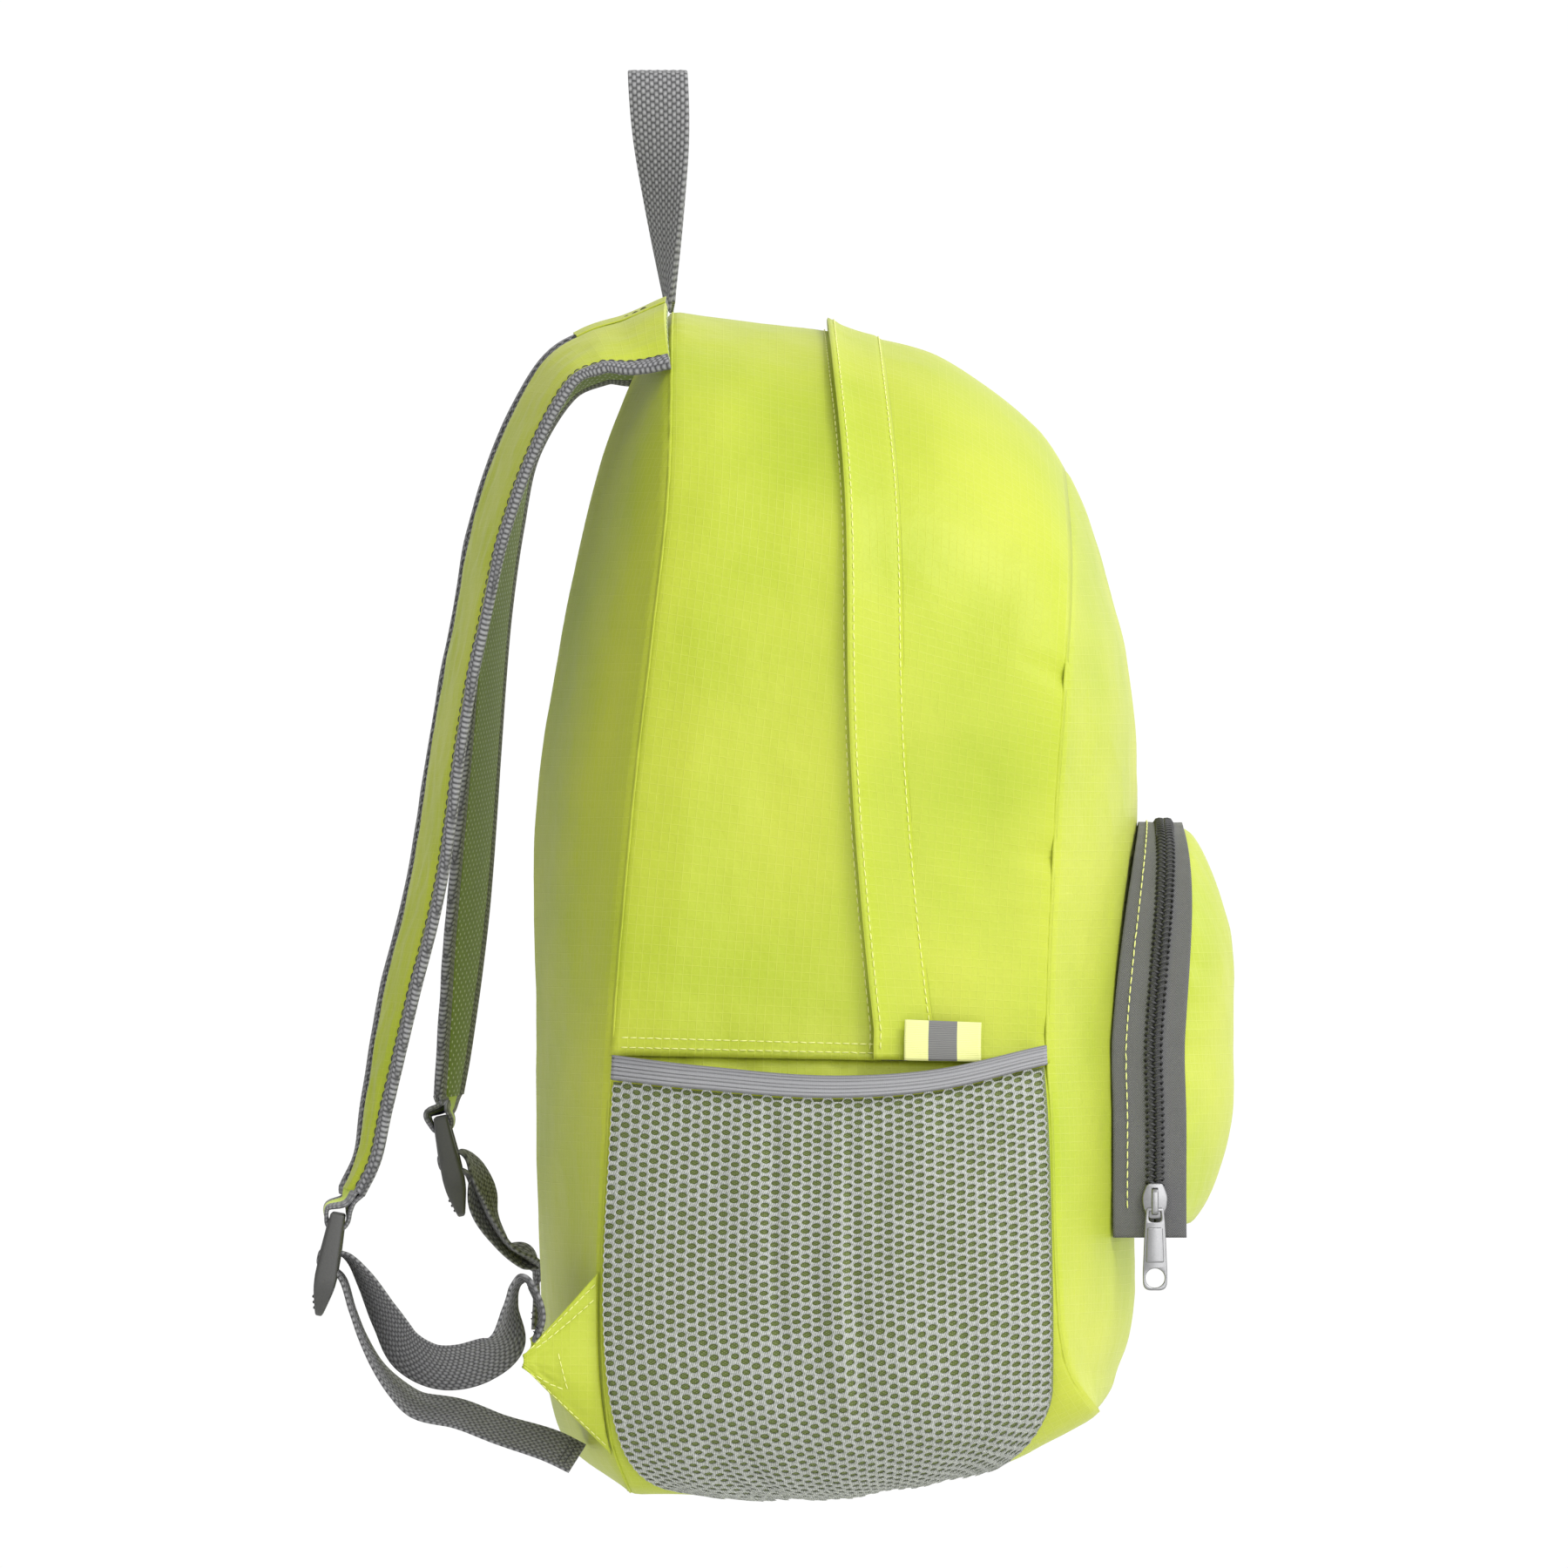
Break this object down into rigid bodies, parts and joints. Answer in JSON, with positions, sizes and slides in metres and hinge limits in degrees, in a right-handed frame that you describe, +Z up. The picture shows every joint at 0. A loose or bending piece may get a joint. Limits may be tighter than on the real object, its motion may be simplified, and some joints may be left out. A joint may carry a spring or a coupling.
{
  "type": "packable backpack",
  "caption": "Thin lime nylon packable backpack hanging by its grab loop, with a zipped front pouch, mesh side pockets and two padded straps.",
  "frame": {"origin": "inside of the top of the grab loop, where the pack hangs", "axes": "+Z up, -Y the front with the pouch, +Y the worn side with the straps, X along the width"},
  "size_m": [0.3074, 0.3375, 0.5225],
  "materials": {
    "nylon": "satin",
    "webbing": "matte",
    "elastic": "matte",
    "net": "matte",
    "zip_tape": "matte",
    "zip_coil": "satin",
    "nickel": "satin",
    "buckle_plastic": "matte",
    "ribbon": "satin",
    "strap_mesh": "matte"
  },
  "bodies": {
    "pack": {"back_panel": "nylon", "gusset_rear": "nylon", "gusset_front": "nylon", "lower_gusset": "nylon", "front_panel": "nylon", "main_zip": "zip_tape", "zip_flap": "nylon", "zip_tab_left": "ribbon", "zip_tab_right": "ribbon", "pocket_tape_inner": "zip_tape", "pocket_tape_outer": "zip_tape", "pocket_zip_chain": "zip_coil", "pocket_face": "nylon", "zip_slider": "nickel", "mesh_pocket_left": "net", "elastic_left": "elastic", "mesh_pocket_right": "net", "elastic_right": "elastic", "strap_pad_left": "nylon", "strap_underside_left": "strap_mesh", "binding_outer_left": "webbing", "binding_inner_left": "webbing", "buckle_loop_left": "webbing", "ladder_lock_left": "buckle_plastic", "adjuster_webbing_left": "webbing", "anchor_tab_left": "nylon", "strap_pad_right": "nylon", "strap_underside_right": "strap_mesh", "binding_outer_right": "webbing", "binding_inner_right": "webbing", "buckle_loop_right": "webbing", "ladder_lock_right": "buckle_plastic", "adjuster_webbing_right": "webbing", "anchor_tab_right": "nylon", "grab_loop": "webbing"},
    "pull": {"zip_pull": "nickel"}
  },
  "joints": [
    {"name": "pull_swing", "type": "hinge", "parent": "pack", "child": "pull", "pos_m": [-0.08427, -0.18142, -0.4156], "axis": [0, 1, 0], "range_deg": [0, 135]}
  ]
}
